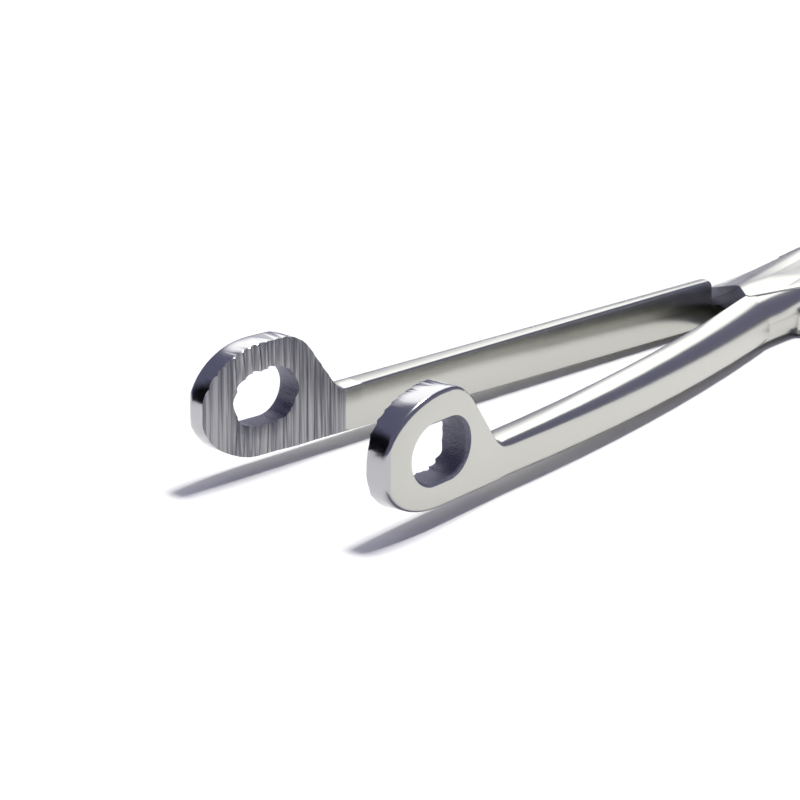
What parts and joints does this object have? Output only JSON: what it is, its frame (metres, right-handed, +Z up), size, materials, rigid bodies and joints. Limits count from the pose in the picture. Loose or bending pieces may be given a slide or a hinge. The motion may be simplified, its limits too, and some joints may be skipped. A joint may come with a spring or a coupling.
{
  "type": "magill forceps",
  "caption": "Angled Magill forceps with serrated, windowed ring jaws, long slender blades, a screwed lap joint and oval finger rings, lying on its side.",
  "frame": {"origin": "pivot axis at the underside of the joint, at the mouth of the screw's slot", "axes": "+Z up along the pivot axis; the jaws lie towards -X and the handles bend towards +X and -Y"},
  "size_m": [0.2068, 0.0975, 0.0139],
  "materials": {
    "half_steel": "satin forged stainless steel with polished edges",
    "screw_steel": "turned stainless steel"
  },
  "bodies": {
    "lower": {"lower_half": "half_steel"},
    "upper": {"upper_half": "half_steel", "pivot_screw": "screw_steel"}
  },
  "joints": [
    {"name": "pivot", "type": "hinge", "parent": "lower", "child": "upper", "pos_m": [0, 0, 0], "axis": [0, 0, 1], "range_deg": [-13, 26]}
  ]
}
